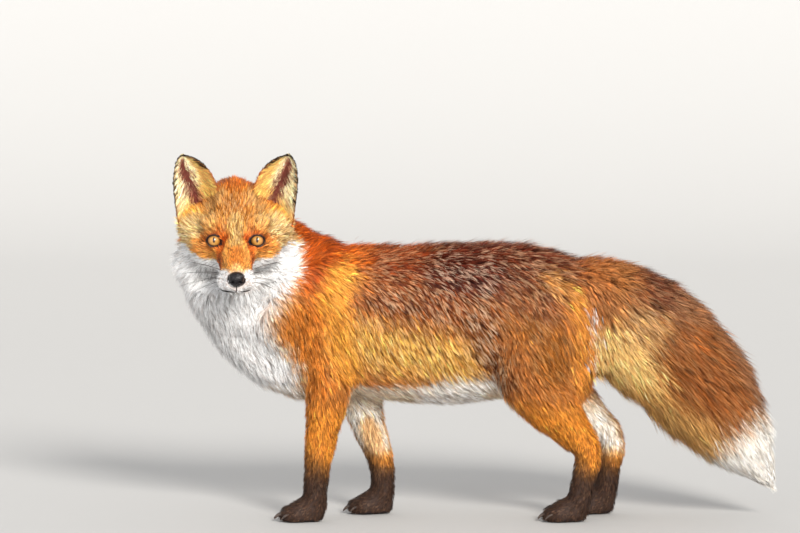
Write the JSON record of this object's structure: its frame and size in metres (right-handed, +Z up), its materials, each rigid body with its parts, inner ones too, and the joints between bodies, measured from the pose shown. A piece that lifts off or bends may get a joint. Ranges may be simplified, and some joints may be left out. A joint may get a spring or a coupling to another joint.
{
  "type": "red fox model",
  "caption": "Life-size red fox in winter coat, standing side on with its head turned to its left, ears up and tail hanging behind.",
  "frame": {"origin": "middle of the underside of the whole animal's box, on the floor between the paws", "axes": "+X towards the tail, so the chest points to -X; +Y towards the animal's right flank; +Z up; the turned face looks to -Y"},
  "size_m": [0.8184, 0.2806, 0.5059],
  "materials": {
    "russet_coat": "dense winter fur, orange to mahogany, frosted pale on the back",
    "white_coat": "soft white fur of cheeks, throat, belly and tail tip",
    "black_coat": "short black-brown fur of the feet",
    "ear_coat": "cream fringe inside, black behind",
    "nose_leather": "moist pebbled black skin",
    "eye_amber": "wet, amber iris with an upright slit pupil",
    "claw_horn": "dark horn"
  },
  "bodies": {
    "root": {"trunk": "russet_coat", "neck": "russet_coat", "head": "russet_coat", "lower_jaw": "white_coat", "ear_left": "ear_coat", "ear_right": "ear_coat", "eye_left": "eye_amber", "eye_right": "eye_amber", "nose_pad": "nose_leather", "foreleg_left": "russet_coat", "foreleg_right": "russet_coat", "forepaw_left": "black_coat", "forepaw_right": "black_coat", "hindleg_left": "russet_coat", "hindleg_right": "russet_coat", "hindpaw_left": "black_coat", "hindpaw_right": "black_coat", "tail_base": "russet_coat", "tail_middle": "russet_coat", "tail_tip": "white_coat"}
  },
  "joints": []
}
